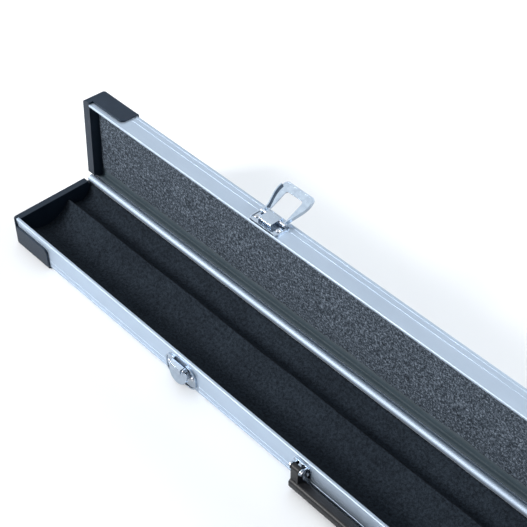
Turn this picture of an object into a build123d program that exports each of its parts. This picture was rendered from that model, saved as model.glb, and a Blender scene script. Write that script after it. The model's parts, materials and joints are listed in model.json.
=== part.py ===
from build123d import *
import os
from math import cos, radians, sin

# A long two-part case for billiard cues: a base with two foam channels, a hinged lid with a foam
# pad, two latches and a carrying handle. Millimetres. X runs along the case, -Y is the front
# and +Z is up. The origin is at the middle of the case, level with the underside of the end caps.
# The lid is modelled shut, then swung open about the hinge, because open is its rest position.

# Overall sizes
CASE_LENGTH = 830.0  # over the end caps
CASE_WIDTH = 80.0  # over the rails
CAP_SKIN = 1.0  # how far the end caps stand out below the base and above the lid
CAP_SIDE_SKIN = 2.0  # and in front of and behind the rails
BASE_DEPTH = 27.8  # base rail height
LID_DEPTH = 21.8  # lid rail height
MATE_GAP = 0.3  # between the two rims when shut
LID_OPEN_ANGLE = 92.5
REACH = 20.0  # how far a cutting shape goes past the middle of a small piece

# Rail extrusion
WALL = 1.2
FLANGE = 9.0  # width of the two flanges that hold the panel
PANEL_SLOT = 4.0
PANEL_SLACK = 0.1
RIM_WIDTH = 2.4
RIM_HEIGHT = 4.0
RIM_PROUD = 0.4  # base only: the lid's rim is flush, under the hasp plate
RIM_ROUND = 0.7
GROOVE_WIDTH = 0.8
GROOVE_DEPTH = 0.35
GROOVE_PLACES = (3.6, 8.4)  # from the panel side
RAIL_CORNER = 1.8
PORT_OUTER = 2.6  # screw port, outer radius
PORT_INNER = 1.4

# Continuous hinge
HINGE_TUBE = 3.2  # outer radius of the base's open tube
HINGE_BORE = 2.1
HINGE_ROD = 2.02  # radius of the lid's rod
TUBE_SLOT_START = -84.5  # the tube's slot, degrees from +Y towards +Z
TUBE_SLOT_END = 52.0
NECK = 1.0
NECK_ANGLE = 30.0  # lid shut, from +Y towards +Z
LEAF_INNER = 3.55  # the lid's arc that reaches round the tube
LEAF_OUTER = 4.6
LEAF_START = 24.0
LEAF_END = 92.0
LEAF_CLEARANCE = 0.4  # between the arc and the end caps

# End caps
BASE_END_SKIN = 3.6  # plastic outside the ends of the base's rails
LID_END_SKIN = 8.0
BASE_END_WALL = 6.1  # whole thickness of the end wall
LID_END_WALL = 8.4
EAR_LENGTH = 47.0
BASE_EAR_TOP = 20.8
LID_EAR_GAP = 4.4  # rail left bare between the lid's ear and the rim
EAR_ROUND = 4.0
CAP_CORNER = 3.6
PLUG_CLEARANCE = 0.3
RIB_WIDTH = 1.2  # grooves in the outer face of the end wall
RIB_DEPTH = 0.5
RIB_MARGIN = 5.5
RIB_SPREAD = 26.0
SCREW_R = 1.45
SCREW_HEAD = 2.8
SCREW_SINK = 1.6
SCREW_LENGTH = 14.0
SCREW_CROSS = 1.5  # half length of the cross recess
SCREW_CROSS_HALF = 0.4

# Foam
RIDGE_Y = 11.5
RIDGE_DROP = 5.0  # ridge below the base's rim
BUTT_CHANNEL_DEPTH = 15.2
SHAFT_CHANNEL_DEPTH = 10.0
LID_FOAM_DROP = 8.0
FOAM_SIDE = 38.1
FOAM_END = 0.2  # slack at the end walls

# Latches
LATCH_X = 195.0
SHEET = 1.2  # thickness of the pressed steel
DISH_RIM = 0.6
DISH_EDGE = 1.2
CATCH_PLATE_HALF = 17.6
CATCH_PLATE_LOW = 1.6
CATCH_PLATE_TOP = 23.8
CATCH_PLATE_CORNER = 8.5
NOSE_HALF = 6.3
NOSE_TOP_Z = 23.0
NOSE_FRONT_Y = -47.4
NOSE_BACK_Y = -42.6
NOSE_LIP = 0.8  # thickness of the lip that holds the loop's bar
NOSE_LIP_LOW = 17.4
THUMB_RADIUS = 10.2  # the round thumb plate, tilted out at the bottom
THUMB_CENTRE_Z = 13.4
THUMB_FRONT_Y = -43.2
THUMB_HINGE_Z = 20.0
THUMB_TILT = 10.0
THUMB_TOP_Z = 21.0
THUMB_SHOULDER = 0.45  # where the round is cut off, in radii above its centre
CHEEK_LOW_Z = 18.6
LEVER_PIN_Y = -44.4
LEVER_PIN_Z = 20.6
LEVER_PIN_R = 1.0
CATCH_EAR_R = 1.8  # round ends of the plate's ears
EAR_GAP = 0.2  # between the lever's cheeks and the plate's ears
HASP_PLATE_WIDTH = 31.0
HASP_PLATE_HEIGHT = 15.8
HASP_PLATE_CORNER = 3.0
HASP_PLATE_UP = 0.5  # above the lid rail's rim
BRIDGE_HALF = 6.6
BRIDGE_HEIGHT = 4.2
BRIDGE_LOW = 2.6
BRIDGE_ROUND = 1.2
LOOP_PIVOT_Y = -43.4
LOOP_PIVOT_UP = 13.0  # above the base's rim plane
LOOP_PIN_R = 1.2
LOOP_PIN_HEAD = 0.5
PIN_HEAD_LENGTH = 0.8
LOOP_LENGTH = 31.0
LOOP_FRONT_Y = -46.4
LOOP_BASE_HALF = 12.0
LOOP_BULGE_HALF = 14.8
LOOP_FLARE_HALF = 16.5
LOOP_BAR_HALF = 12.4
LOOP_BOSS = 1.9
LOOP_EAR = 5.0  # length of the free ears below the pivot
LOOP_FLANGE = 3.4
LOOP_LIP = 1.3  # depth of the edge at the end, where the thumb plate lies behind
LOOP_LIP_REACH = 5.0
LOOP_HOLE_HALF = 9.0
LOOP_HOLE_ROUND = 2.6
LOOP_BAR = 7.2
LOOP_SWING = 154.0
RIVET_R = 1.3
RIVET_HEAD = 1.9
RIVET_CHAMFER = 0.35
CATCH_RIVET_X = 13.4
CATCH_RIVET_Z = 14.4
HASP_RIVET_X = 11.6
HASP_RIVET_UP = 5.6  # above the plate's lower edge
RUNNING_FIT = 0.05

# Handle
HANDLE_HALF = 62.0
HANDLE_PIVOT_Y = -46.6
HANDLE_PIVOT_Z = 23.6
HANDLE_PIN_R = 1.5
HANDLE_PIN_HEAD = 0.8
BRACKET_WIDTH = 17.0
BRACKET_CORNER = 2.0
BRACKET_DROP = 10.4  # plate below the pivot
BRACKET_GAP = 4.2  # half the space between the ears
BRACKET_EAR = 1.4
BRACKET_BOSS = 2.9
BRACKET_RIVET_X = 4.5
BRACKET_RIVET_DROP = 7.2
ARM_HALF = 3.7
ARM_RADIUS = 2.7
GRIP_Z = 6.8
GRIP_HEIGHT = 9.0
GRIP_DEPTH = 9.4
GRIP_ROUND = 3.0

# Worked out
HALF = CASE_LENGTH / 2
SIDE = CASE_WIDTH / 2
BASE_RAIL_HALF = HALF - BASE_END_SKIN
LID_RAIL_HALF = HALF - LID_END_SKIN
BASE_INNER_HALF = HALF - BASE_END_WALL
LID_INNER_HALF = HALF - LID_END_WALL
MATE_Z = CAP_SKIN + BASE_DEPTH
LID_LOW = MATE_Z + MATE_GAP
LID_TOP = LID_LOW + LID_DEPTH
HINGE_Y = SIDE - 0.2
INNER_FLANGE = WALL + PANEL_SLOT
BED = INNER_FLANGE + WALL
PORT_U = WALL + PORT_OUTER - 0.4
PORT_V = BED + PORT_OUTER - 0.4
LOOP_PIVOT_Z = MATE_Z + LOOP_PIVOT_UP
HASP_PLATE_LOW = LID_LOW + HASP_PLATE_UP
HINGE_AXIS = Axis((0, HINGE_Y, MATE_Z), (1, 0, 0))
LOOP_AXIS = Axis((0, LOOP_PIVOT_Y, LOOP_PIVOT_Z), (1, 0, 0))

os.makedirs("parts", exist_ok=True)


# Helpers


def save(name, shape):
    export_step(shape, f"parts/{name}.step")


def open_lid(shape):
    return shape.rotate(HINGE_AXIS, -LID_OPEN_ANGLE)


def area(low_a, high_a, low_b, high_b):
    """A rectangle from its low and high sides."""
    middle = Pos((low_a + high_a) / 2, (low_b + high_b) / 2)
    return middle * Rectangle(high_a - low_a, high_b - low_b)


def block(x, y, z):
    """A box from (low, high) pairs."""
    centre = Pos((x[0] + x[1]) / 2, (y[0] + y[1]) / 2, (z[0] + z[1]) / 2)
    return centre * Box(x[1] - x[0], y[1] - y[0], z[1] - z[0])


def along_x(sketch, low, high):
    """Extrudes a (Y, Z) sketch along X."""
    return extrude(Plane.YZ.offset(low) * sketch, amount=high - low)


def along_y(sketch, low, high):
    """Extrudes an (X, Z) sketch along Y."""
    return extrude(Plane.XZ.offset(-high) * sketch, amount=high - low)


def rod_x(y, z, radius, low, high):
    return along_x(Pos(y, z) * Circle(radius), low, high)


def rod_y(x, z, radius, low, high):
    return along_y(Pos(x, z) * Circle(radius), low, high)


def group(solids):
    return Compound(children=list(solids))


def mirror_x(shape):
    return mirror(shape, about=Plane.YZ)


def between(side, near, far):
    """The (low, high) pair of a range on one side of the middle."""
    return tuple(sorted((side * near, side * far)))


def sector(radius, start, end):
    """A pie slice about the hinge, from start to end degrees, wider than radius."""
    steps = 6
    reach = radius * 2
    points = [(0, 0)]
    for i in range(steps + 1):
        angle = radians(start + (end - start) * i / steps)
        points.append((reach * cos(angle), reach * sin(angle)))
    return Polygon(*points, align=None)


# Rails, drawn with u inwards from the outer face and v from the panel side to the rim


def rail_section(depth, rim_proud=None):
    """rim_proud is how far the rim swells out from the face; a hinged rail has no rim."""
    section = area(0, WALL, 0, depth)
    section += area(0, FLANGE, 0, WALL)
    section += area(0, FLANGE, INNER_FLANGE, BED)
    section += Pos(PORT_U, PORT_V) * Circle(PORT_OUTER)
    section -= Pos(PORT_U, PORT_V) * Circle(PORT_INNER)
    if rim_proud is not None:
        middle = Pos((RIM_WIDTH - rim_proud) / 2, depth - RIM_HEIGHT / 2)
        section += middle * RectangleRounded(RIM_WIDTH + rim_proud, RIM_HEIGHT, RIM_ROUND)
        section -= area(-1, RIM_ROUND, depth - RIM_ROUND, depth + 1)
        section += Pos(RIM_ROUND - rim_proud, depth - RIM_ROUND) * Circle(RIM_ROUND)
    for place in GROOVE_PLACES:
        section -= area(0, GROOVE_DEPTH, place - GROOVE_WIDTH / 2, place + GROOVE_WIDTH / 2)
    corner = area(0, RAIL_CORNER, 0, RAIL_CORNER)
    return section - (corner - Pos(RAIL_CORNER, RAIL_CORNER) * Circle(RAIL_CORNER))


def rivet_holes(rail, places):
    """Bores the front wall at each (X, Z) place."""
    for x, z in places:
        rail -= rod_y(x, z, RIVET_R + RUNNING_FIT, -SIDE - 2, -SIDE + RIM_WIDTH + 1)
    return rail


def base_front_rail():
    section = Pos(-SIDE, CAP_SKIN) * rail_section(BASE_DEPTH, RIM_PROUD)
    rail = along_x(section, -BASE_RAIL_HALF, BASE_RAIL_HALF)
    return rivet_holes(rail, base_rivet_places())


def base_rear_rail():
    axis = Pos(HINGE_Y, MATE_Z)
    section = mirror(Pos(-SIDE, CAP_SKIN) * rail_section(BASE_DEPTH), about=Plane.YZ)
    section -= axis * Circle(HINGE_TUBE - 0.1)
    section -= area(HINGE_Y, SIDE + 1, MATE_Z - HINGE_BORE, MATE_Z)
    tube = Circle(HINGE_TUBE) - Circle(HINGE_BORE)
    slot = sector(HINGE_TUBE, TUBE_SLOT_START, TUBE_SLOT_END)
    section += axis * (tube - slot)
    return along_x(section, -BASE_RAIL_HALF, BASE_RAIL_HALF)


def lid_front_rail():
    section = Pos(-SIDE, LID_TOP) * mirror(rail_section(LID_DEPTH, 0.0), about=Plane.XZ)
    rail = along_x(section, -LID_RAIL_HALF, LID_RAIL_HALF)
    return rivet_holes(rail, hasp_rivet_places())


def lid_rear_rail():
    axis = Pos(HINGE_Y, MATE_Z)
    section = mirror(rail_section(LID_DEPTH), about=Plane.XZ)
    section = mirror(Pos(-SIDE, LID_TOP) * section, about=Plane.YZ)
    section -= axis * Circle(LEAF_INNER)
    leaf = Circle(LEAF_OUTER) - Circle(LEAF_INNER)
    leaf = leaf & sector(LEAF_OUTER, LEAF_START, LEAF_END)
    neck = Rot(0, 0, NECK_ANGLE) * area(HINGE_ROD - 0.3, LEAF_OUTER - 0.4, -NECK / 2, NECK / 2)
    section += axis * (leaf + neck + Circle(HINGE_ROD))
    return along_x(section, -LID_RAIL_HALF, LID_RAIL_HALF)


# Panels and foam


def panel(low_z, rail_half):
    """A sheet in the rails' slots, slack by PANEL_SLACK all round."""
    reach = SIDE - WALL - PANEL_SLACK
    high_z = low_z + PANEL_SLOT
    return block((-rail_half, rail_half), (-reach, reach), (low_z + PANEL_SLACK, high_z - PANEL_SLACK))


def bed_outline(surface):
    """A foam block's section: v from the panel side, stepped over the flanges and ports."""
    low = INNER_FLANGE
    inner = SIDE - FLANGE - 0.3
    port = SIDE - PORT_U - PORT_OUTER - 0.4
    over_port = PORT_V + PORT_OUTER + 0.3
    outline = area(-inner, inner, low, surface)
    outline += area(-port, port, BED + 0.1, surface)
    return outline + area(-FOAM_SIDE, FOAM_SIDE, over_port, surface)


def channel_circle(low_y, high_y, depth, edge_z):
    """A circle through two edges at edge_z and a bottom depth below them."""
    half = (high_y - low_y) / 2
    radius = (half**2 + depth**2) / (2 * depth)
    return Pos((low_y + high_y) / 2, edge_z - depth + radius) * Circle(radius)


def base_foam_liner():
    ridge_z = MATE_Z - RIDGE_DROP
    section = Pos(0, CAP_SKIN) * bed_outline(ridge_z + 0.6 - CAP_SKIN)
    section -= channel_circle(-FOAM_SIDE + 0.6, RIDGE_Y, BUTT_CHANNEL_DEPTH, ridge_z)
    section -= channel_circle(RIDGE_Y, SIDE - 4.6, SHAFT_CHANNEL_DEPTH, ridge_z)
    section -= Pos(HINGE_Y, MATE_Z) * Circle(HINGE_TUBE + 0.8)
    section -= area(-SIDE, -FOAM_SIDE + 1.6, MATE_Z - RIM_HEIGHT - 0.4, MATE_Z)
    liner = along_x(section, FOAM_END - BASE_INNER_HALF, BASE_INNER_HALF - FOAM_END)
    return liner.solids().sort_by(SortBy.VOLUME)[-1]


def lid_foam_pad():
    section = bed_outline(LID_DEPTH - LID_FOAM_DROP)
    section = Pos(0, LID_TOP) * mirror(section, about=Plane.XZ)
    return along_x(section, FOAM_END - LID_INNER_HALF, LID_INNER_HALF - FOAM_END)


# End caps, drawn for the right-hand end with the rim upwards


def cap_shell(height):
    """The outer moulding with its closed side at z = 0 and the rim at z = height."""
    outer = along_x(
        Pos(0, height / 2) * Rectangle(CASE_WIDTH + 2 * CAP_SIDE_SKIN, height),
        HALF - EAR_LENGTH,
        HALF,
    )
    low_edges = outer.edges().filter_by(Axis.X).group_by(Axis.Z)[0]
    outer = fillet(low_edges, RAIL_CORNER + CAP_SKIN)
    end_face = outer.faces().sort_by(Axis.X)[-1]
    upright = end_face.edges().filter_by(Axis.Z)
    return fillet(upright, CAP_CORNER)


def cap_hollow(height, rail_half):
    """The space for the rails inside the cap."""
    section = Pos(0, CAP_SKIN + height) * Rectangle(CASE_WIDTH, 2 * height)
    corner = area(-SIDE, -SIDE + RAIL_CORNER, CAP_SKIN, CAP_SKIN + RAIL_CORNER)
    corner -= Pos(-SIDE + RAIL_CORNER, CAP_SKIN + RAIL_CORNER) * Circle(RAIL_CORNER)
    section -= corner
    section -= mirror(corner, about=Plane.YZ)
    return along_x(section, HALF - EAR_LENGTH - 1, rail_half)


def cap_plug(height, inner_half, rail_half):
    """The inner part of the end wall, between the rails and inside the panel."""
    inner = SIDE - RIM_WIDTH - PLUG_CLEARANCE
    port = SIDE - PORT_U - PORT_OUTER - PLUG_CLEARANCE
    flange = SIDE - FLANGE - PLUG_CLEARANCE
    section = area(-flange, flange, CAP_SKIN + INNER_FLANGE, height)
    section += area(-port, port, CAP_SKIN + BED + PLUG_CLEARANCE, height)
    section += area(-inner, inner, CAP_SKIN + PORT_V + PORT_OUTER + PLUG_CLEARANCE, height)
    return along_x(section, inner_half, rail_half + 0.5)


def ear_trim(side, ear_top, height, rail_half):
    """What is cut from one side skin to leave the ear, with its corner rounded."""
    y = between(side, SIDE - 0.5, SIDE + CAP_SIDE_SKIN + 1)
    end = HALF - EAR_LENGTH
    trim = block((end - 1, rail_half), y, (ear_top, height + 1))
    corner = block((end - 1, end + EAR_ROUND), y, (ear_top - EAR_ROUND, ear_top + 0.5))
    return trim + (corner - rod_y(end + EAR_ROUND, ear_top - EAR_ROUND, EAR_ROUND, *y))


def end_cap(height, ear_top, hinge_z, inner_half, rail_half):
    cap = cap_shell(height) - cap_hollow(height, rail_half)
    for side in (-1, 1):
        cap -= ear_trim(side, ear_top, height, rail_half)
    cap += cap_plug(height, inner_half, rail_half)
    cap -= rod_x(HINGE_Y, hinge_z, LEAF_OUTER + LEAF_CLEARANCE, inner_half - 1, HALF + 1)
    for place in screw_places():
        cap -= rod_x(*place, SCREW_R + 0.1, rail_half - 1, HALF + 1)
        cap -= rod_x(*place, SCREW_HEAD + 0.2, HALF - SCREW_SINK, HALF + 1)
    for y in (-RIB_SPREAD, 0, RIB_SPREAD):
        cap -= rib_groove(y, height)
    return cap.solids().sort_by(SortBy.VOLUME)[-1]


def rib_groove(y, height):
    """A shallow upright groove in the outer face of the end wall."""
    across = (y - RIB_WIDTH / 2, y + RIB_WIDTH / 2)
    return block((HALF - RIB_DEPTH, HALF + 1), across, (RIB_MARGIN, height - RIB_MARGIN))


def screw_places():
    """Screw port centres in (Y, Z), measured from the cap's closed side."""
    z = CAP_SKIN + PORT_V
    return ((-SIDE + PORT_U, z), (SIDE - PORT_U, z))


def base_end_cap():
    return end_cap(MATE_Z, BASE_EAR_TOP, MATE_Z, BASE_INNER_HALF, BASE_RAIL_HALF)


def lid_end_cap():
    height = LID_TOP + CAP_SKIN - LID_LOW
    ear_top = height - LID_EAR_GAP
    cap = end_cap(height, ear_top, height + MATE_GAP, LID_INNER_HALF, LID_RAIL_HALF)
    return Pos(0, 0, LID_TOP + CAP_SKIN) * mirror(cap, about=Plane.XY)


def cap_screw(y, z, rail_half):
    """A countersunk cross-head screw, sunk in the cap and driven into a rail's port."""
    shank_radius = PORT_INNER - RUNNING_FIT
    shank = rod_x(y, z, shank_radius, rail_half - SCREW_LENGTH, HALF - SCREW_SINK)
    head = rod_x(y, z, SCREW_HEAD, HALF - SCREW_SINK, HALF - 0.3)
    recess_x = (HALF - SCREW_SINK + 0.5, HALF)
    long_y = (y - SCREW_CROSS, y + SCREW_CROSS)
    long_z = (z - SCREW_CROSS, z + SCREW_CROSS)
    thin_y = (y - SCREW_CROSS_HALF, y + SCREW_CROSS_HALF)
    thin_z = (z - SCREW_CROSS_HALF, z + SCREW_CROSS_HALF)
    return shank + head - block(recess_x, thin_y, long_z) - block(recess_x, long_y, thin_z)


def base_cap_screws():
    right = [cap_screw(y, z, BASE_RAIL_HALF) for y, z in screw_places()]
    return group(right + [mirror_x(screw) for screw in right])


def lid_cap_screws():
    top = LID_TOP + CAP_SKIN
    right = [cap_screw(y, top - z, LID_RAIL_HALF) for y, z in screw_places()]
    return group([open_lid(screw) for screw in right + [mirror_x(screw) for screw in right]])


# Latch, drawn at x = 0


def dished_plate(width, low_z, high_z, corner):
    """A pressed plate on the front wall with a raised edge."""
    middle = Pos(0, (low_z + high_z) / 2)
    height = high_z - low_z
    plate = along_y(middle * RectangleRounded(width, height, corner), -SIDE - SHEET, -SIDE)
    rim = RectangleRounded(width, height, corner)
    rim -= RectangleRounded(width - 2 * DISH_EDGE, height - 2 * DISH_EDGE, corner - DISH_EDGE)
    return plate + along_y(middle * rim, -SIDE - SHEET - DISH_RIM, -SIDE - SHEET + 0.1)


def rivet_bores(plate, offsets):
    """Bores a plate on the front wall at each (X, Z) offset."""
    for x, z in offsets:
        plate -= rod_y(x, z, RIVET_R + RUNNING_FIT, -SIDE - SHEET - 2, -SIDE + 1)
    return plate


def catch_plate():
    """The base's plate: ears for the lever's pin and a notch behind the lever's nose."""
    plate = dished_plate(2 * CATCH_PLATE_HALF, CATCH_PLATE_LOW, CATCH_PLATE_TOP, CATCH_PLATE_CORNER)
    notch = (-NOSE_HALF - EAR_GAP, NOSE_HALF + EAR_GAP)
    plate -= block(notch, (-SIDE - 4, -SIDE + 1), (CHEEK_LOW_Z, CATCH_PLATE_TOP + 1))
    for side in (-1, 1):
        x = between(side, NOSE_HALF + EAR_GAP, NOSE_HALF + EAR_GAP + SHEET)
        ear = block(x, (LEVER_PIN_Y, -SIDE - 0.5), (CHEEK_LOW_Z, LEVER_PIN_Z + CATCH_EAR_R))
        plate += ear + rod_x(LEVER_PIN_Y, LEVER_PIN_Z, CATCH_EAR_R, *x)
    plate -= rod_x(LEVER_PIN_Y, LEVER_PIN_Z, LEVER_PIN_R + RUNNING_FIT, -REACH, REACH)
    return rivet_bores(plate, catch_rivet_offsets())


def catch_pin():
    end = NOSE_HALF + EAR_GAP + SHEET + 0.3
    return rod_x(LEVER_PIN_Y, LEVER_PIN_Z, LEVER_PIN_R, -end, end)


def thumb_plate():
    """The round thumb plate with its neck, upright."""
    face = Pos(0, THUMB_CENTRE_Z) * Circle(THUMB_RADIUS)
    shoulder_z = THUMB_CENTRE_Z + THUMB_RADIUS * THUMB_SHOULDER
    face -= area(-REACH, REACH, shoulder_z, shoulder_z + REACH)
    face += area(-NOSE_HALF, NOSE_HALF, THUMB_CENTRE_Z, THUMB_TOP_Z)
    plate = along_y(face, THUMB_FRONT_Y, THUMB_FRONT_Y + SHEET)
    return plate.rotate(Axis((0, THUMB_FRONT_Y, THUMB_HINGE_Z), (1, 0, 0)), -THUMB_TILT)


def catch_lever():
    """A hooked nose and a thumb plate, joined by two cheeks on the pin."""
    inner = (-NOSE_HALF, NOSE_HALF)
    nose = block(inner, (NOSE_FRONT_Y, NOSE_BACK_Y), (NOSE_TOP_Z - SHEET, NOSE_TOP_Z))
    nose += block(inner, (NOSE_FRONT_Y, NOSE_FRONT_Y + NOSE_LIP), (NOSE_LIP_LOW, NOSE_TOP_Z))
    lever = nose + thumb_plate()
    for side in (-1, 1):
        x = between(side, NOSE_HALF - SHEET, NOSE_HALF)
        lever += block(x, (NOSE_FRONT_Y + NOSE_LIP - 0.1, NOSE_BACK_Y), (CHEEK_LOW_Z, NOSE_TOP_Z - 0.1))
    return lever - rod_x(LEVER_PIN_Y, LEVER_PIN_Z, LEVER_PIN_R + RUNNING_FIT, -REACH, REACH)


def catch_rivet_offsets():
    return ((-CATCH_RIVET_X, CATCH_RIVET_Z), (CATCH_RIVET_X, CATCH_RIVET_Z))


def hasp_rivet_offsets():
    z = HASP_PLATE_LOW + HASP_RIVET_UP
    return ((-HASP_RIVET_X, z), (HASP_RIVET_X, z))


def both_latches(offsets):
    return [(side * LATCH_X + x, z) for side in (-1, 1) for x, z in offsets]


def handle_rivet_places():
    z = HANDLE_PIVOT_Z - BRACKET_RIVET_DROP
    offsets = (-BRACKET_RIVET_X, BRACKET_RIVET_X)
    return [(side * HANDLE_HALF + x, z) for side in (-1, 1) for x in offsets]


def base_rivet_places():
    return both_latches(catch_rivet_offsets()) + handle_rivet_places()


def hasp_rivet_places():
    return both_latches(hasp_rivet_offsets())


def rivet(x, z):
    outer = -SIDE - SHEET
    inner = -SIDE + WALL
    pin = rod_y(x, z, RIVET_R, outer - 0.3, inner + 0.3)
    head = rod_y(x, z, RIVET_HEAD, outer - 0.8, outer)
    head = chamfer(head.faces().sort_by(Axis.Y)[0].edges(), RIVET_CHAMFER)
    return pin + head + rod_y(x, z, RIVET_HEAD, inner, inner + 0.4)


def hasp_plate():
    """The lid's plate, with a bridge that the loop's pin runs through."""
    low = HASP_PLATE_LOW
    top = low + HASP_PLATE_HEIGHT
    front = -SIDE - SHEET
    plate = dished_plate(HASP_PLATE_WIDTH, low, top, HASP_PLATE_CORNER)
    plate -= block((-REACH, REACH), (front - 2, front), (top - DISH_EDGE - 0.5, top + 1))
    bridge_z = (low + BRIDGE_LOW, top)
    bridge = block((-BRIDGE_HALF, BRIDGE_HALF), (front - BRIDGE_HEIGHT, -SIDE - 0.5), bridge_z)
    bridge_face = bridge.faces().sort_by(Axis.Y)[0]
    plate += fillet(bridge_face.edges().filter_by(Axis.X), BRIDGE_ROUND)
    plate -= rod_x(LOOP_PIVOT_Y, LOOP_PIVOT_Z, LOOP_PIN_R + RUNNING_FIT, -REACH, REACH)
    return rivet_bores(plate, hasp_rivet_offsets())


def headed_pin(y, z, radius, half, head):
    """A pin along X with a head at each end, just outside half."""
    pin = rod_x(y, z, radius, -half - PIN_HEAD_LENGTH, half + PIN_HEAD_LENGTH)
    for side in (-1, 1):
        pin += rod_x(y, z, radius + head, *between(side, half + 0.1, half + PIN_HEAD_LENGTH))
    return pin


def hasp_pin():
    return headed_pin(LOOP_PIVOT_Y, LOOP_PIVOT_Z, LOOP_PIN_R, LOOP_BASE_HALF, LOOP_PIN_HEAD)


def loop_outline(inset):
    """The loop's outline in (X, distance down from the pivot), drawn downwards in Z."""
    base = LOOP_BASE_HALF - inset
    bulge = LOOP_BULGE_HALF - inset
    flare = LOOP_FLARE_HALF - inset
    end = LOOP_LENGTH - inset
    bar = LOOP_BAR_HALF - inset
    side = Spline(
        (base, LOOP_BOSS + 0.3),
        (base, -0.1 * LOOP_LENGTH),
        (bulge, -0.42 * LOOP_LENGTH),
        (flare, -0.82 * LOOP_LENGTH),
    )
    corner = Spline(side @ 1, (bar, -end), tangents=[side % 1, (-1, 0)])
    bottom = Line(corner @ 1, (-bar, -end))
    top = Line((-base, LOOP_BOSS + 0.3), (base, LOOP_BOSS + 0.3))
    return make_face([side, corner, bottom, mirror(corner, Plane.YZ), mirror(side, Plane.YZ), top])


def loop_profile():
    """The loop from the side in (Y, Z): bosses at the pivot, widening down to the skin."""
    far_z = LOOP_PIVOT_Z - LOOP_LENGTH - 1
    back_y = LOOP_FRONT_Y + LOOP_FLANGE
    profile = Polygon(
        (LOOP_PIVOT_Y - LOOP_BOSS, LOOP_PIVOT_Z),
        (LOOP_FRONT_Y, LOOP_PIVOT_Z - 0.2 * LOOP_LENGTH),
        (LOOP_FRONT_Y, far_z),
        (back_y, far_z),
        (back_y, LOOP_PIVOT_Z - 0.25 * LOOP_LENGTH),
        (LOOP_PIVOT_Y + LOOP_BOSS, LOOP_PIVOT_Z),
        align=None,
    )
    return profile + Pos(LOOP_PIVOT_Y, LOOP_PIVOT_Z) * Circle(LOOP_BOSS)


def hasp_loop():
    """The latched loop, hanging from its pivot; the skin faces the front."""
    at_pivot = Pos(0, LOOP_PIVOT_Z)
    back_y = LOOP_PIVOT_Y + LOOP_BOSS + 1
    end_z = LOOP_PIVOT_Z - LOOP_LENGTH
    loop = along_y(at_pivot * loop_outline(0), LOOP_FRONT_Y, back_y)
    loop = loop & along_x(loop_profile(), -REACH, REACH)
    loop -= along_y(at_pivot * loop_outline(SHEET), LOOP_FRONT_Y + SHEET, back_y)
    ear_gap = LOOP_BASE_HALF - SHEET
    ear_low = LOOP_PIVOT_Z - LOOP_EAR
    loop -= block((-ear_gap, ear_gap), (LOOP_FRONT_Y - 1, back_y), (ear_low, ear_low + REACH))
    lip_z = (end_z - 1, end_z + LOOP_LIP_REACH)
    loop -= block((-REACH, REACH), (LOOP_FRONT_Y + LOOP_LIP, back_y), lip_z)
    hole = area(-LOOP_HOLE_HALF, LOOP_HOLE_HALF, end_z + LOOP_BAR, LOOP_PIVOT_Z + LOOP_EAR)
    hole = fillet(hole.vertices().group_by(Axis.Y)[0], LOOP_HOLE_ROUND)
    loop -= along_y(hole, LOOP_FRONT_Y - 1, back_y)
    loop -= rod_x(LOOP_PIVOT_Y, LOOP_PIVOT_Z, LOOP_PIN_R + RUNNING_FIT, -REACH, REACH)
    return loop.solids().sort_by(SortBy.VOLUME)[-1]


def loop_at_rest():
    return open_lid(hasp_loop().rotate(LOOP_AXIS, -LOOP_SWING))


# Handle: bracket and pin drawn at x = 0


def handle_bracket():
    """A plate with two ears that the grip's arm swings between."""
    low = HANDLE_PIVOT_Z - BRACKET_DROP
    top = MATE_Z - RIM_HEIGHT - 0.3
    outline = RectangleRounded(BRACKET_WIDTH, top - low, BRACKET_CORNER)
    plate = along_y(Pos(0, (low + top) / 2) * outline, -SIDE - SHEET, -SIDE)
    for side in (-1, 1):
        x = between(side, BRACKET_GAP, BRACKET_GAP + BRACKET_EAR)
        ear = block(x, (HANDLE_PIVOT_Y, -SIDE - 0.5), (HANDLE_PIVOT_Z - 4.0, top))
        ear += rod_x(HANDLE_PIVOT_Y, HANDLE_PIVOT_Z, BRACKET_BOSS, *x)
        plate += ear - block((-REACH, REACH), (-SIDE - SHEET, -SIDE + 2), (top, top + REACH))
    plate -= rod_x(HANDLE_PIVOT_Y, HANDLE_PIVOT_Z, HANDLE_PIN_R + RUNNING_FIT, -REACH, REACH)
    rivet_z = HANDLE_PIVOT_Z - BRACKET_RIVET_DROP
    return rivet_bores(plate, ((-BRACKET_RIVET_X, rivet_z), (BRACKET_RIVET_X, rivet_z)))


def handle_pin():
    half = BRACKET_GAP + BRACKET_EAR
    return headed_pin(HANDLE_PIVOT_Y, HANDLE_PIVOT_Z, HANDLE_PIN_R, half, HANDLE_PIN_HEAD)


def handle_grip():
    """The grip and its two arms in one piece."""
    grip = Pos(HANDLE_PIVOT_Y, GRIP_Z) * RectangleRounded(GRIP_DEPTH, GRIP_HEIGHT, GRIP_ROUND)
    handle = along_x(grip, -HANDLE_HALF - ARM_HALF, HANDLE_HALF + ARM_HALF)
    for side in (-1, 1):
        x = (side * HANDLE_HALF - ARM_HALF, side * HANDLE_HALF + ARM_HALF)
        y = (HANDLE_PIVOT_Y - ARM_RADIUS, HANDLE_PIVOT_Y + ARM_RADIUS)
        handle += block(x, y, (GRIP_Z, HANDLE_PIVOT_Z))
        handle += rod_x(HANDLE_PIVOT_Y, HANDLE_PIVOT_Z, ARM_RADIUS, *x)
        bore = (x[0] - 1, x[1] + 1)
        handle -= rod_x(HANDLE_PIVOT_Y, HANDLE_PIVOT_Z, HANDLE_PIN_R + RUNNING_FIT, *bore)
    return handle


# Build and write every piece

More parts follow.
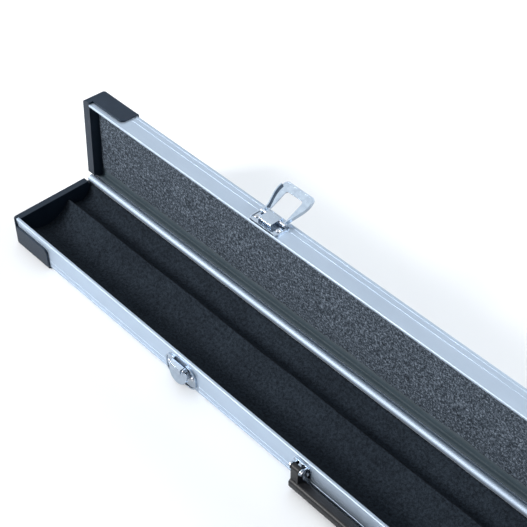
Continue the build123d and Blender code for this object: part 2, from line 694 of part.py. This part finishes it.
save("base_front_rail", base_front_rail())
save("base_rear_rail", base_rear_rail())
save("base_bottom_panel", panel(CAP_SKIN + WALL, BASE_RAIL_HALF))
save("base_foam_liner", base_foam_liner())
save("base_cap_screws", base_cap_screws())
save("catch_rivets", group(rivet(x, z) for x, z in both_latches(catch_rivet_offsets())))
save("handle_rivets", group(rivet(x, z) for x, z in handle_rivet_places()))
save("handle_grip", handle_grip())

save("lid_front_rail", open_lid(lid_front_rail()))
save("lid_rear_rail", open_lid(lid_rear_rail()))
save("lid_top_panel", open_lid(panel(LID_TOP - WALL - PANEL_SLOT, LID_RAIL_HALF)))
save("lid_foam_pad", open_lid(lid_foam_pad()))
save("lid_cap_screws", lid_cap_screws())
save("hasp_rivets", group(open_lid(rivet(x, z)) for x, z in hasp_rivet_places()))

for side_name, side in (("left", -1), ("right", 1)):
    latch = Pos(side * LATCH_X, 0, 0)
    base_cap = base_end_cap()
    lid_cap = lid_end_cap()
    if side < 0:
        base_cap = mirror_x(base_cap)
        lid_cap = mirror_x(lid_cap)
    save(f"base_end_cap_{side_name}", base_cap)
    save(f"lid_end_cap_{side_name}", open_lid(lid_cap))
    save(f"catch_plate_{side_name}", latch * catch_plate())
    save(f"catch_pin_{side_name}", latch * catch_pin())
    save(f"catch_lever_{side_name}", latch * catch_lever())
    save(f"hasp_plate_{side_name}", latch * open_lid(hasp_plate()))
    save(f"hasp_pin_{side_name}", latch * open_lid(hasp_pin()))
    save(f"hasp_loop_{side_name}", latch * loop_at_rest())
    save(f"handle_bracket_{side_name}", Pos(side * HANDLE_HALF, 0, 0) * handle_bracket())
    save(f"handle_pin_{side_name}", Pos(side * HANDLE_HALF, 0, 0) * handle_pin())
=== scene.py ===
import json
from math import cos, pi, radians, sin, sqrt

import bmesh
import bpy
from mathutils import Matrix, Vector, noise

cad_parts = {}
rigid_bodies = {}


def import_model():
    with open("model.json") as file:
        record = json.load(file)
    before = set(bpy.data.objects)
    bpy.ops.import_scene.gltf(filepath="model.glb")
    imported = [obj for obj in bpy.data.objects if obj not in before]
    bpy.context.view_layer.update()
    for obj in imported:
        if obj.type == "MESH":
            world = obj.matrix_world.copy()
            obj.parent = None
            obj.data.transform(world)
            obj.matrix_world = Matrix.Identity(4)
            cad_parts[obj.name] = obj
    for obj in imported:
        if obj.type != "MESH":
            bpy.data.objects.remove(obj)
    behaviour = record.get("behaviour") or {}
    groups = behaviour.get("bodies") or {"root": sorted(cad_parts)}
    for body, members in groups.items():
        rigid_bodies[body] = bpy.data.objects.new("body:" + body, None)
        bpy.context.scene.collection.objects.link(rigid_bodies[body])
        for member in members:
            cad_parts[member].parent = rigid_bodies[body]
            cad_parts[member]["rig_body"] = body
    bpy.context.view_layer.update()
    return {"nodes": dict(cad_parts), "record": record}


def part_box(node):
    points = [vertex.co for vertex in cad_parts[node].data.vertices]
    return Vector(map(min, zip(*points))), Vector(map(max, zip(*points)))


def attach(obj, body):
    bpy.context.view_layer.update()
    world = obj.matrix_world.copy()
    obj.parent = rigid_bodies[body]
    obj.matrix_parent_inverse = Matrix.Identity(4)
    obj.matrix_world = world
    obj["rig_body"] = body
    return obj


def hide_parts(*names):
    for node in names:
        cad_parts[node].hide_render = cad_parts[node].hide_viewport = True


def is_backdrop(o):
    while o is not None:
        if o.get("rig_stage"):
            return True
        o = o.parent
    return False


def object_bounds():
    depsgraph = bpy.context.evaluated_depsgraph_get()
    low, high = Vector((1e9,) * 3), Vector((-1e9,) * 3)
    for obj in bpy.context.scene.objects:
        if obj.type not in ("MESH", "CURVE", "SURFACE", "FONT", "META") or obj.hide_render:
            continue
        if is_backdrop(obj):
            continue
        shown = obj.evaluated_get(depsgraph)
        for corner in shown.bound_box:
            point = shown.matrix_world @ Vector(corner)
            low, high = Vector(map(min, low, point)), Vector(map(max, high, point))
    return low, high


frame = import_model()

MM = 0.001
NODES = frame["nodes"]
SIDES = ("left", "right")


# ---------------------------------------------------------------- materials


def new_material(name, **shader_values):
    """A material with its main shader's fixed numbers set; returns it with a small node helper."""
    material = bpy.data.materials.new(name)
    material.use_nodes = True
    shader = material.node_tree.nodes["Principled BSDF"]
    for socket, value in shader_values.items():
        shader.inputs[socket.replace("_", " ")].default_value = value
    return material, Nodes(material.node_tree, shader)


class Nodes:
    """Adds nodes to one material by short calls."""

    def __init__(self, tree, shader):
        self.tree = tree
        self.shader = shader

    def add(self, kind, **settings):
        node = self.tree.nodes.new(kind)
        for name, value in settings.items():
            setattr(node, name, value)
        return node

    def link(self, source, target):
        self.tree.links.new(source, target)

    def place(self, scale=(1, 1, 1)):
        """Object coordinates in millimetres, stretched by scale."""
        coordinates = self.add("ShaderNodeTexCoord")
        mapping = self.add("ShaderNodeMapping")
        mapping.inputs["Scale"].default_value = [s / MM for s in scale]
        self.link(coordinates.outputs["Object"], mapping.inputs["Vector"])
        return mapping.outputs["Vector"]

    def noise(self, vector, scale, detail=2.0, roughness=0.5):
        node = self.add("ShaderNodeTexNoise")
        self.link(vector, node.inputs["Vector"])
        node.inputs["Scale"].default_value = scale
        node.inputs["Detail"].default_value = detail
        node.inputs["Roughness"].default_value = roughness
        return node.outputs["Fac"]

    def cells(self, vector, scale, randomness=1.0, feature="F1"):
        node = self.add("ShaderNodeTexVoronoi", feature=feature)
        self.link(vector, node.inputs["Vector"])
        node.inputs["Scale"].default_value = scale
        node.inputs["Randomness"].default_value = randomness
        return node.outputs["Distance"]

    def ramp(self, value, stops):
        """Colours at places from 0 to 1."""
        node = self.add("ShaderNodeValToRGB")
        self.link(value, node.inputs["Fac"])
        band = node.color_ramp
        while len(band.elements) < len(stops):
            band.elements.new(0.5)
        for element, (position, colour) in zip(band.elements, stops):
            element.position = position
            element.color = (*colour, 1)
        return node.outputs["Color"]

    def to_range(self, value, low, high, from_low=0.0, from_high=1.0):
        node = self.add("ShaderNodeMapRange")
        self.link(value, node.inputs["Value"])
        node.inputs["From Min"].default_value = from_low
        node.inputs["From Max"].default_value = from_high
        node.inputs["To Min"].default_value = low
        node.inputs["To Max"].default_value = high
        return node.outputs["Result"]

    def maths(self, operation, a, b):
        node = self.add("ShaderNodeMath", operation=operation)
        for socket, value in zip(node.inputs, (a, b)):
            if isinstance(value, float):
                socket.default_value = value
            else:
                self.link(value, socket)
        return node.outputs["Value"]

    def mix(self, factor, a, b, blend="MIX"):
        node = self.add("ShaderNodeMix", data_type="RGBA", blend_type=blend)
        if isinstance(factor, float):
            node.inputs["Factor"].default_value = factor
        else:
            self.link(factor, node.inputs["Factor"])
        self.link(a, node.inputs["A"])
        self.link(b, node.inputs["B"])
        return node.outputs["Result"]

    def bump(self, height, strength, distance_mm, normal=None):
        node = self.add("ShaderNodeBump")
        node.inputs["Strength"].default_value = strength
        node.inputs["Distance"].default_value = distance_mm * MM
        self.link(height, node.inputs["Height"])
        if normal is not None:
            self.link(normal, node.inputs["Normal"])
        return node.outputs["Normal"]

    def finish(self, **sources):
        for socket, source in sources.items():
            self.link(source, self.shader.inputs[socket.replace("_", " ")])


# Reach and openness of the painted highlight that lightens the aluminium in grooves and next to
# other parts.
GROOVE_REACH = 1.6  # mm within which a near wall counts as a groove
GROOVE_OPENNESS = (0.5, 0.88)  # from a groove's bottom to open metal


def aluminium(name, rough_low, rough_high):
    """Pale blue satin anodising with a fine lengthwise grain; a painted highlight makes it
    brighter down in its grooves.
    """
    material, n = new_material(name, Metallic=1.0)
    along = n.place((0.004, 1.0, 1.0))
    grain = n.noise(along, 3.2, 3.0, 0.6)
    cloud = n.noise(n.place((0.02, 0.06, 0.06)), 1.0, 3.0, 0.55)
    tone = n.ramp(cloud, [(0.3, (0.52, 0.61, 0.72)), (0.7, (0.56, 0.65, 0.76))])
    streak = n.ramp(grain, [(0.25, (0.90, 0.91, 0.92)), (0.75, (1.0, 1.0, 1.0))])
    colour = n.mix(0.6, tone, streak, "MULTIPLY")
    # painted highlight: where walls are near (ambient occlusion), the colour is mixed towards a
    # paler tone, in grooves and beside other parts
    corners = n.add("ShaderNodeAmbientOcclusion", samples=4)
    corners.inputs["Distance"].default_value = GROOVE_REACH * MM
    painted_groove_highlight = n.to_range(corners.outputs["AO"], 0.5, 0.0, *GROOVE_OPENNESS)
    bright = n.ramp(cloud, [(0.3, (0.90, 0.94, 0.97)), (0.7, (0.94, 0.97, 1.0))])
    colour = n.mix(painted_groove_highlight, colour, bright)
    rough = n.to_range(grain, rough_low, rough_high, 0.25, 0.75)
    normal = n.bump(grain, 0.2, 0.012)
    n.finish(Base_Color=colour, Roughness=rough, Normal=normal)
    return material


def chrome():
    """Polished pressed steel with faint smears."""
    material, n = new_material("chrome_hardware", Metallic=1.0)
    smear = n.noise(n.place((0.25, 0.25, 0.25)), 1.0, 4.0, 0.6)
    fine = n.noise(n.place((1.0, 1.0, 1.0)), 1.4, 3.0, 0.5)
    colour = n.ramp(smear, [(0.25, (0.33, 0.39, 0.47)), (0.75, (0.46, 0.53, 0.61))])
    rough = n.to_range(smear, 0.10, 0.22, 0.3, 0.75)
    normal = n.bump(fine, 0.15, 0.03)
    n.finish(Base_Color=colour, Roughness=rough, Normal=normal)
    return material


def zinc():
    """Dull zinc plating on pins, rivets and screws."""
    material, n = new_material("steel_fastener", Metallic=1.0)
    spangle = n.noise(n.place(), 0.9, 3.0, 0.6)
    colour = n.ramp(spangle, [(0.3, (0.42, 0.44, 0.48)), (0.7, (0.62, 0.65, 0.70))])
    rough = n.to_range(spangle, 0.24, 0.42, 0.3, 0.7)
    n.finish(Base_Color=colour, Roughness=rough, Normal=n.bump(spangle, 0.3, 0.04))
    return material


def moulded(name, dark, light, rough_low, rough_high, grain_mm, depth_mm):
    """Moulded plastic with a fine spark-eroded texture and slow changes of tone."""
    material, n = new_material(name, Specular_IOR_Level=0.3)
    skin = n.noise(n.place(), 1.0 / grain_mm, 3.0, 0.6)
    cloud = n.noise(n.place((0.05, 0.05, 0.05)), 1.0, 3.0, 0.6)
    base = n.ramp(cloud, [(0.3, dark), (0.7, light)])
    fleck = n.ramp(skin, [(0.35, (0.82, 0.82, 0.82)), (0.65, (1.0, 1.0, 1.0))])
    colour = n.mix(0.7, base, fleck, "MULTIPLY")
    rough = n.to_range(skin, rough_low, rough_high, 0.3, 0.7)
    n.finish(Base_Color=colour, Roughness=rough, Normal=n.bump(skin, 0.5, depth_mm))
    return material


def laminate():
    """Black pebbled covering of the outer panels."""
    material, n = new_material("panel_laminate", Specular_IOR_Level=0.4)
    place = n.place()
    pebble = n.cells(place, 0.9, 1.0, "SMOOTH_F1")
    fine = n.noise(place, 2.6, 3.0, 0.6)
    height = n.maths("ADD", pebble, n.maths("MULTIPLY", fine, 0.3))
    colour = n.ramp(pebble, [(0.1, (0.030, 0.030, 0.034)), (0.8, (0.012, 0.012, 0.014))])
    rough = n.to_range(pebble, 0.38, 0.62)
    n.finish(Base_Color=colour, Roughness=rough, Normal=n.bump(height, 0.6, 0.25))
    return material


def speckled_foam():
    """Open-cell foam: pale struts and dark pores, a millimetre or two across."""
    material, n = new_material(
        "pad_foam", Roughness=0.95, Specular_IOR_Level=0.10, Sheen_Weight=0.03
    )
    place = n.place()
    coarse = n.noise(place, 0.55, 4.0, 0.72)
    fine = n.noise(place, 1.5, 2.0, 0.6)
    pores = n.cells(place, 0.75)
    speck = n.maths("ADD", n.maths("MULTIPLY", coarse, 0.6), n.maths("MULTIPLY", fine, 0.4))
    colour = n.ramp(
        speck,
        [
            (0.38, (0.008, 0.011, 0.015)),
            (0.47, (0.034, 0.044, 0.058)),
            (0.54, (0.086, 0.108, 0.136)),
            (0.62, (0.240, 0.285, 0.345)),
        ],
    )
    height = n.maths("ADD", speck, n.maths("MULTIPLY", pores, 0.25))
    n.finish(Base_Color=colour, Normal=n.bump(height, 0.7, 0.8))
    return material


def channel_foam():
    """Closer, darker foam in the channels, with a nap that catches light at grazing angles."""
    material, n = new_material(
        "channel_foam", Roughness=0.95, Specular_IOR_Level=0.08, Sheen_Weight=0.03
    )
    place = n.place()
    coarse = n.noise(place, 0.45, 4.0, 0.65)
    fine = n.noise(place, 1.6, 2.0, 0.6)
    cloud = n.noise(n.place((0.02, 0.04, 0.04)), 1.0, 3.0, 0.6)
    speck = n.maths("ADD", n.maths("MULTIPLY", coarse, 0.55), n.maths("MULTIPLY", fine, 0.45))
    spot = n.ramp(speck, [(0.40, (0.20, 0.21, 0.23)), (0.60, (1.0, 1.0, 1.0))])
    tone = n.ramp(cloud, [(0.3, (0.022, 0.030, 0.041)), (0.7, (0.031, 0.042, 0.056))])
    colour = n.mix(0.9, tone, spot, "MULTIPLY")
    n.finish(Base_Color=colour, Normal=n.bump(speck, 0.6, 0.5))
    return material


def shade_strip_material():
    """A smooth dark sheet along the pad's hinge side, over the lid rail's inner wall: painted
    shade, put where the rail's aluminium lies in shade.
    """
    material, n = new_material("painted_shade_strip", Specular_IOR_Level=0.25)
    cloud = n.noise(n.place((0.03, 0.2, 0.2)), 1.0, 3.0, 0.6)
    fine = n.noise(n.place(), 1.4, 3.0, 0.6)
    tone = n.ramp(cloud, [(0.3, (0.032, 0.050, 0.062)), (0.7, (0.042, 0.063, 0.078))])
    rough = n.to_range(fine, 0.5, 0.7, 0.3, 0.7)
    n.finish(Base_Color=tone, Roughness=rough, Normal=n.bump(fine, 0.3, 0.06))
    return material


MATERIALS = {
    "anodised_aluminium": aluminium("anodised_aluminium", 0.50, 0.60),
    "chrome_hardware": chrome(),
    "steel_fastener": zinc(),
    "cap_plastic": moulded(
        "cap_plastic", (0.010, 0.020, 0.036), (0.015, 0.027, 0.046), 0.42, 0.58, 0.55, 0.06
    ),
    "grip_plastic": moulded(
        "grip_plastic", (0.010, 0.010, 0.012), (0.016, 0.017, 0.019), 0.34, 0.50, 0.4, 0.05
    ),
    "panel_laminate": laminate(),
    "pad_foam": speckled_foam(),
    "channel_foam": channel_foam(),
}

SLOT_OF = {part["node"]: part["material_slot"] for part in frame["record"]["subparts"]}


# ---------------------------------------------------------------- mesh helpers


def paint(obj, slot):
    obj.data.materials.clear()
    obj.data.materials.append(MATERIALS[slot])


def apply_modifiers(obj):
    graph = bpy.context.evaluated_depsgraph_get()
    mesh = bpy.data.meshes.new_from_object(obj.evaluated_get(graph))
    obj.modifiers.clear()
    obj.data = mesh


WELD_DISTANCE = 0.002  # mm between corners that are one
FLAT_ANGLE = 0.6  # degrees up to which neighbouring faces are one


def dress_cad(node, width_mm, segments=2, sharp=30):
    """A copy of a CAD piece with its edges rounded, which stands for it."""
    mesh = NODES[node].data.copy()
    obj = bpy.data.objects.new(node + "_finished", mesh)
    bpy.context.scene.collection.objects.link(obj)
    work = bmesh.new()
    work.from_mesh(mesh)
    bmesh.ops.remove_doubles(work, verts=work.verts, dist=WELD_DISTANCE * MM)
    bmesh.ops.dissolve_limit(
        work, angle_limit=radians(FLAT_ANGLE), verts=work.verts, edges=work.edges
    )
    work.to_mesh(mesh)
    work.free()
    bevel = obj.modifiers.new("round", "BEVEL")
    bevel.width = width_mm * MM
    bevel.segments = segments
    bevel.limit_method = "ANGLE"
    bevel.angle_limit = radians(sharp)
    bevel.miter_outer = "MITER_ARC"
    bevel.harden_normals = False
    apply_modifiers(obj)
    for face in obj.data.polygons:
        face.use_smooth = True
    weighted = obj.modifiers.new("normals", "WEIGHTED_NORMAL")
    weighted.keep_sharp = True
    apply_modifiers(obj)
    paint(obj, SLOT_OF[node])
    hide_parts(node)
    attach(obj, NODES[node]["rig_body"])
    return obj


for node_name, node_object in NODES.items():
    paint(node_object, SLOT_OF[node_name])
# the rail with the hinge tube is blasted, so it is duller than the others
NODES["base_rear_rail"].data.materials[0] = aluminium("blasted_hinge_tube", 0.62, 0.72)


# ---------------------------------------------------------------- soft pieces

JOINTS = {joint["name"]: joint for joint in frame["record"]["behaviour"]["joints"]}
HINGE = JOINTS["lid_hinge"]["pos_m"]
OPEN_ANGLE = radians(JOINTS["lid_hinge"]["range_deg"][1])


def turn_about_hinge(y, z, angle):
    """(y, z) in metres, turned about the lid's hinge."""
    dy, dz = y - HINGE[1], z - HINGE[2]
    return (
        HINGE[1] + dy * cos(angle) - dz * sin(angle),
        HINGE[2] + dy * sin(angle) + dz * cos(angle),
    )


def soft_min(values, width):
    """The smallest value, with the corners between them rounded over about width."""
    result = values[0]
    for value in values[1:]:
        blend = max(width - abs(result - value), 0.0) / width
        result = min(result, value) - blend * blend * width / 4
    return result


def arc_height(y, low_y, high_y, edge_z, depth):
    """Height over y of a round channel between two edges, going on steeply past them."""
    half = (high_y - low_y) / 2
    radius = (half * half + depth * depth) / (2 * depth)
    centre_z = edge_z - depth + radius
    off = abs(y - (low_y + high_y) / 2)
    if off >= radius:
        return centre_z + 4 * (off - radius)
    return centre_z - sqrt(radius * radius - off * off)


def waver(x, scale_mm, seed):
    """Smooth noise from -1 to 1 along the case."""
    return noise.noise(Vector((x / (scale_mm * MM), seed, 0.0)))


def grain(point, scale_mm):
    return noise.noise(Vector(point) / (scale_mm * MM))


def loft(name, stations, section_at):
    """A closed solid through one loop of (y, z) points at each station along X."""
    mesh = bpy.data.meshes.new(name)
    work = bmesh.new()
    loops = []
    for x in stations:
        loops.append([work.verts.new((x, y, z)) for y, z in section_at(x)])
    count = len(loops[0])
    for near, far in zip(loops, loops[1:]):
        for i in range(count):
            j = (i + 1) % count
            work.faces.new((near[i], far[i], far[j], near[j]))
    work.faces.new(loops[0])
    work.faces.new(reversed(loops[-1]))
    bmesh.ops.recalc_face_normals(work, faces=work.faces)
    for face in work.faces:
        face.smooth = len(face.verts) == 4
    work.to_mesh(mesh)
    work.free()
    obj = bpy.data.objects.new(name, mesh)
    bpy.context.scene.collection.objects.link(obj)
    return obj


END_ZONE = 4.0  # mm at each end where stations are close together
END_STEPS = 8
FOAM_STEP = 1.6  # mm between stations elsewhere
STRIP_STEP = 8.0


def along_case(low, high, step):
    """Stations from low to high, close together in the last few millimetres of each end."""
    lead = [i * 0.5 * MM for i in range(END_STEPS)]
    span = high - low - 2 * END_ZONE * MM
    count = int(span / step)
    middle = [low + END_ZONE * MM + i * span / count for i in range(count + 1)]
    return [low + d for d in lead] + middle + [high - d for d in reversed(lead)]


def edge_drop(x, low, high, radius):
    """How far a rolled edge of that radius has dropped at x."""
    inside = min(x - low, high - x)
    if inside >= radius:
        return 0.0
    return radius - sqrt(max(radius * radius - (radius - inside) ** 2, 0.0))


def foam_replaces(obj, node, body):
    paint(obj, SLOT_OF[node])
    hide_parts(node)
    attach(obj, body)


# The steps in a foam block's underside over a rail's port and flange, in mm.
PORT_IN = 4.5
PORT_STEP = 5.0
FLANGE_IN = 7.4
WHOLE_STEP = 6.3


def steps_below(side_y, over_port, sign):
    """Points from a foam block's side down and in over the rail's port and flange, in mm."""
    return [
        (side_y, over_port),
        (side_y - PORT_IN, over_port),
        (side_y - PORT_IN, over_port + sign * PORT_STEP),
        (side_y - FLANGE_IN, over_port + sign * PORT_STEP),
        (side_y - FLANGE_IN, over_port + sign * WHOLE_STEP),
    ]


# The liner, in mm.
RIDGE_Y = 11.5
RIDGE_DROP = 5.0  # below the rim
FRONT_DEPTH = 15.2
REAR_DEPTH = 10.0
FRONT_MARGIN = 0.6  # flat edge in front of the wide channel
REAR_MARGIN = 2.7  # and behind the narrow one
EDGE_BLEND = 3.0
LINER_END_ROLL = 3.0
LINER_POINTS = 96  # across one section


def channel_foam_piece():
    """The liner: two round channels and a soft, slightly wandering ridge between them."""
    low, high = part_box("base_foam_liner")
    side = high[1] / MM
    top = high[2] / MM
    ridge_z = HINGE[2] / MM - RIDGE_DROP
    over_port = low[2] / MM + WHOLE_STEP

    def section_at(x):
        ridge = RIDGE_Y + 0.9 * waver(x, 70, 3.0) + 0.3 * waver(x, 17, 9.0)
        end_roll = edge_drop(x, low[0], high[0], LINER_END_ROLL * MM) / MM
        sink = 0.5 * abs(waver(x, 45, 5.0)) + end_roll
        points = []
        for i in range(LINER_POINTS + 1):
            y = -side + 2 * side * i / LINER_POINTS
            front = arc_height(y, -side + FRONT_MARGIN, ridge, ridge_z, FRONT_DEPTH)
            rear = arc_height(y, ridge, side - REAR_MARGIN, ridge_z, REAR_DEPTH)
            z = soft_min((front, rear, top), EDGE_BLEND) - sink
            z += 0.16 * grain((x, y * MM, z * MM), 2.6) + 0.3 * grain((x, y * MM, z * MM), 14)
            points.append((y * MM, min(z, top) * MM))
        right = [(y * MM, z * MM) for y, z in steps_below(side, over_port, -1)]
        return points + right + [(-y, z) for y, z in reversed(right)]

    stations = along_case(low[0], high[0], FOAM_STEP * MM)
    liner = loft("channel_foam_soft", stations, section_at)
    foam_replaces(liner, "base_foam_liner", "base")


# The lid's pad, in mm.
PAD_HINGE_MARGIN = 4.2  # how far it stops short of the block's side next to the hinge
PAD_END_ROLL = 2.5
PAD_END_DEPTH = 2.0  # the most that an end drops
FRONT_ROLL = 2.4
HINGE_ROLL = 3.4
ROLL_OVERRUN = 1.5  # how far the front roll starts outside the block
LEAN_FROM = 14.0  # where the face starts to fall away towards the hinge
LEAN = 1.3
PAD_POINTS = 84  # across one section
STRIP_ABOVE_HINGE = 4.9  # where the smooth strip's lower edge is, lid shut


def lid_pad_piece():
    """The lid's pad, drawn shut: a flat crown with rolled edges, lower towards the hinge."""
    mesh = NODES["lid_foam_pad"].data
    shut = [turn_about_hinge(v.co.y, v.co.z, OPEN_ANGLE) for v in mesh.vertices]
    side = max(y for y, z in shut) / MM
    face = min(z for y, z in shut) / MM
    back = max(z for y, z in shut) / MM
    low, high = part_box("lid_foam_pad")
    over_port = back - WHOLE_STEP
    end = side - PAD_HINGE_MARGIN

    def section_at(x):
        ends = edge_drop(x, low[0], high[0], PAD_END_ROLL * MM) / MM
        points = []
        for i in range(PAD_POINTS + 1):
            y = -side + (side + end) * i / PAD_POINTS
            radius = HINGE_ROLL if y > 0 else FRONT_ROLL
            roll = edge_drop(y, -side - ROLL_OVERRUN, end, radius)
            lean = LEAN * max((y - LEAN_FROM) / (end - LEAN_FROM), 0.0) ** 2
            z = face + min(roll, over_port - face - 0.1) + lean + min(ends, PAD_END_DEPTH)
            z += 0.25 + 0.18 * grain((x, y * MM, 0.0), 3.0) + 0.35 * grain((x, y * MM, 0.0), 22)
            points.append((y, min(max(z, face), over_port)))
        left = steps_below(side, over_port, 1)
        right = [(min(y, end), z) for y, z in left]
        outline = points + right + [(-y, z) for y, z in reversed(left)]
        return [turn_about_hinge(y * MM, z * MM, -OPEN_ANGLE) for y, z in outline]

    pad = loft("lid_pad_soft", along_case(low[0], high[0], FOAM_STEP * MM), section_at)
    foam_replaces(pad, "lid_foam_pad", "lid")

    # The strip below is a dark sheet laid on the rail's inner wall as painted shade of that wall.
    wall_low = HINGE[2] / MM + STRIP_ABOVE_HINGE

    def strip_at(x):
        outline = [
            (end - 4.0, over_port),
            (end - 4.0, over_port - 1.0),
            (side - 1.4, over_port - 1.0),
            (side - 0.3, over_port - 1.5),
            (side, over_port - 2.4),
            (side, wall_low),
            (side + 0.5, wall_low),
            (side + 0.5, over_port),
        ]
        return [turn_about_hinge(y * MM, z * MM, -OPEN_ANGLE) for y, z in outline]

    strip = loft("lid_painted_shade_strip", along_case(low[0], high[0], STRIP_STEP * MM), strip_at)
    strip.data.materials.append(shade_strip_material())
    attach(strip, "lid")


# ---------------------------------------------------------------- pieces with rounded edges

ROUNDED = {
    "base_end_cap_left": 0.9,
    "base_end_cap_right": 0.9,
    "lid_end_cap_left": 0.9,
    "lid_end_cap_right": 0.9,
    "catch_plate_left": 0.3,
    "catch_plate_right": 0.3,
    "hasp_plate_left": 0.3,
    "hasp_plate_right": 0.3,
    "catch_lever_left": 0.35,
    "catch_lever_right": 0.35,
    "hasp_loop_left": 0.35,
    "hasp_loop_right": 0.35,
    "handle_bracket_left": 0.3,
    "handle_bracket_right": 0.3,
    "handle_grip": 0.5,
}

channel_foam_piece()
lid_pad_piece()
for rounded_node, rounding_mm in ROUNDED.items():
    dress_cad(rounded_node, rounding_mm)


# ---------------------------------------------------------------- floor, light, camera


# The floor sheet, in metres.
FLOOR_HALF = 6.0
FLOOR_BACK = 3.0  # where it starts to turn up
FLOOR_BEND = 1.2
FLOOR_TOP = 5.0
BEND_STEPS = 16


def floor():
    """A wide pale sheet below the case, turned up smoothly at the back."""
    mesh = bpy.data.meshes.new("floor")
    work = bmesh.new()
    section = [(-FLOOR_HALF, 0.0)]
    for i in range(BEND_STEPS + 1):
        angle = i / BEND_STEPS * pi / 2
        section.append(
            (FLOOR_BACK + FLOOR_BEND * sin(angle), FLOOR_BEND * (1 - cos(angle)))
        )
    section.append((FLOOR_BACK + FLOOR_BEND, FLOOR_TOP))
    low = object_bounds()[0][2]
    sides = (-FLOOR_HALF, FLOOR_HALF)
    rows = [[work.verts.new((x, y, low + z)) for y, z in section] for x in sides]
    for a, b, c, d in zip(rows[0], rows[0][1:], rows[1][1:], rows[1]):
        work.faces.new((a, d, c, b))
    work.to_mesh(mesh)
    work.free()
    obj = bpy.data.objects.new("floor", mesh)
    bpy.context.scene.collection.objects.link(obj)
    for face in mesh.polygons:
        face.use_smooth = True
    material, n = new_material("floor_paper", Roughness=0.9, Specular_IOR_Level=0.1)
    tone = n.noise(n.place((0.004, 0.004, 0.004)), 1.0, 2.0, 0.5)
    n.finish(Base_Color=n.ramp(tone, [(0.3, (0.90, 0.91, 0.92)), (0.7, (0.92, 0.93, 0.94))]))
    mesh.materials.append(material)
    obj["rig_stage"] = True


def area_light(name, place, target, size, power, colour):
    light = bpy.data.lights.new(name, "AREA")
    light.shape = "RECTANGLE"
    light.size, light.size_y = size
    light.energy = power
    light.color = colour
    obj = bpy.data.objects.new(name, light)
    obj.location = place
    obj.rotation_euler = (Vector(target) - Vector(place)).to_track_quat("-Z", "Y").to_euler()
    bpy.context.scene.collection.objects.link(obj)


SKY_STRENGTH = 0.5


def sky():
    """A soft overhead dome, darker low down, so that polished metal has something to show."""
    world = bpy.data.worlds.new("studio")
    world.use_nodes = True
    background = world.node_tree.nodes["Background"]
    n = Nodes(world.node_tree, background)
    direction = n.add("ShaderNodeTexCoord").outputs["Generated"]
    split = n.add("ShaderNodeSeparateXYZ")
    n.link(direction, split.inputs["Vector"])
    shade = n.ramp(
        split.outputs["Z"],
        [
            (0.0, (0.20, 0.21, 0.24)),
            (0.35, (0.34, 0.37, 0.42)),
            (0.75, (0.86, 0.93, 1.0)),
        ],
    )
    n.link(shade, background.inputs["Color"])
    background.inputs["Strength"].default_value = SKY_STRENGTH
    bpy.context.scene.world = world


# Each light's name, place, target and size in metres, its watts and its colour.
LIGHTS = (
    ("key", (-1.3, -2.0, 1.5), (0, 0, 0), (0.8, 0.8), 72, (1.0, 0.99, 0.98)),
    ("back", (1.3, 2.6, 1.3), (-0.1, 0.5, 0), (1.6, 1.0), 105, (0.98, 0.99, 1.0)),
    ("card", (-1.6, 0.5, 2.2), (0, 0, 0), (2.4, 2.2), 17, (0.97, 0.99, 1.0)),
)


def lights():
    for light in LIGHTS:
        area_light(*light)
    sky()


CAMERA_PLACE = (0.3081, -0.4268, 0.7341)
CAMERA_FORWARD = (-0.52528, 0.49372, -0.69305)
CAMERA_LENS = 84.6


def camera():
    data = bpy.data.cameras.new("camera")
    data.lens = CAMERA_LENS
    data.sensor_width = 36.0
    data.clip_start = 0.01
    data.clip_end = 50.0
    obj = bpy.data.objects.new("camera", data)
    obj.location = CAMERA_PLACE
    obj.rotation_euler = Vector(CAMERA_FORWARD).to_track_quat("-Z", "Y").to_euler()
    bpy.context.scene.collection.objects.link(obj)
    bpy.context.scene.camera = obj


bpy.context.scene.view_settings.view_transform = "Standard"
floor()
lights()
camera()
